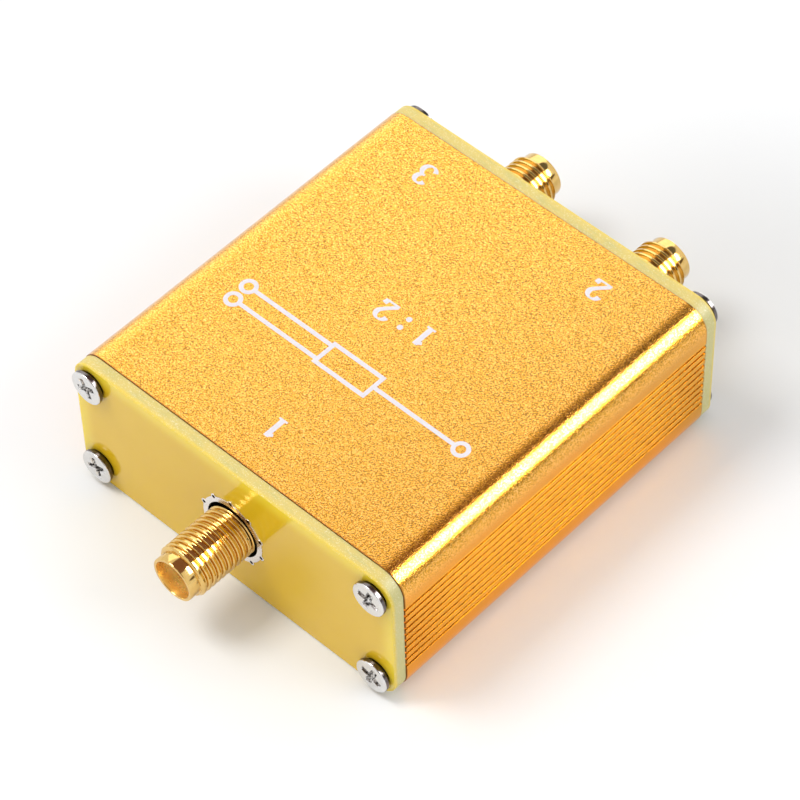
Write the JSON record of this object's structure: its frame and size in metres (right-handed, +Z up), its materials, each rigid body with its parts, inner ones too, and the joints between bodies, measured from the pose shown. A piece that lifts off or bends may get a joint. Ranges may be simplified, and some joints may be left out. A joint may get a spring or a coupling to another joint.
{
  "type": "rf power splitter",
  "caption": "Two-way radio-frequency power splitter: grooved extruded case with screwed end panels, a coaxial input jack at one end and coaxial output jacks at the other.",
  "frame": {"origin": "middle of the underside of the case, on the surface it rests on", "axes": "+Z up, +Y from the input jack to the output jacks, +X to the right seen from the input end"},
  "size_m": [0.045, 0.0664, 0.0185],
  "materials": {
    "anodised_case": "gold anodised, fine blasted grain",
    "panel_laminate": "glossy yellow lacquer on glass-epoxy board, pale cut edges",
    "tinned_pad": "bright tin",
    "screw_steel": "bright nickel plate",
    "gold_plate": "bright gold plate",
    "insulator": "white, waxy",
    "board_laminate": "green lacquer on glass-epoxy board",
    "ferrite": "dull grey-black ferrite",
    "winding_wire": "enamelled copper",
    "resistor_chip": "dark glaze with tinned ends",
    "capacitor_chip": "tan ceramic with tinned ends"
  },
  "bodies": {
    "root": {"case_shell": "anodised_case", "front_panel": "panel_laminate", "rear_panel": "panel_laminate", "pad_1": "tinned_pad", "pad_2": "tinned_pad", "pad_3": "tinned_pad", "panel_screws": "screw_steel", "circuit_board": "board_laminate", "jack_1_body": "gold_plate", "jack_1_insulator": "insulator", "jack_1_contact": "gold_plate", "jack_2_body": "gold_plate", "jack_2_insulator": "insulator", "jack_2_contact": "gold_plate", "jack_3_body": "gold_plate", "jack_3_insulator": "insulator", "jack_3_contact": "gold_plate", "matching_core": "ferrite", "matching_winding": "winding_wire", "splitting_core": "ferrite", "splitting_winding": "winding_wire", "isolation_resistor": "resistor_chip", "trimming_capacitor": "capacitor_chip"}
  },
  "joints": []
}
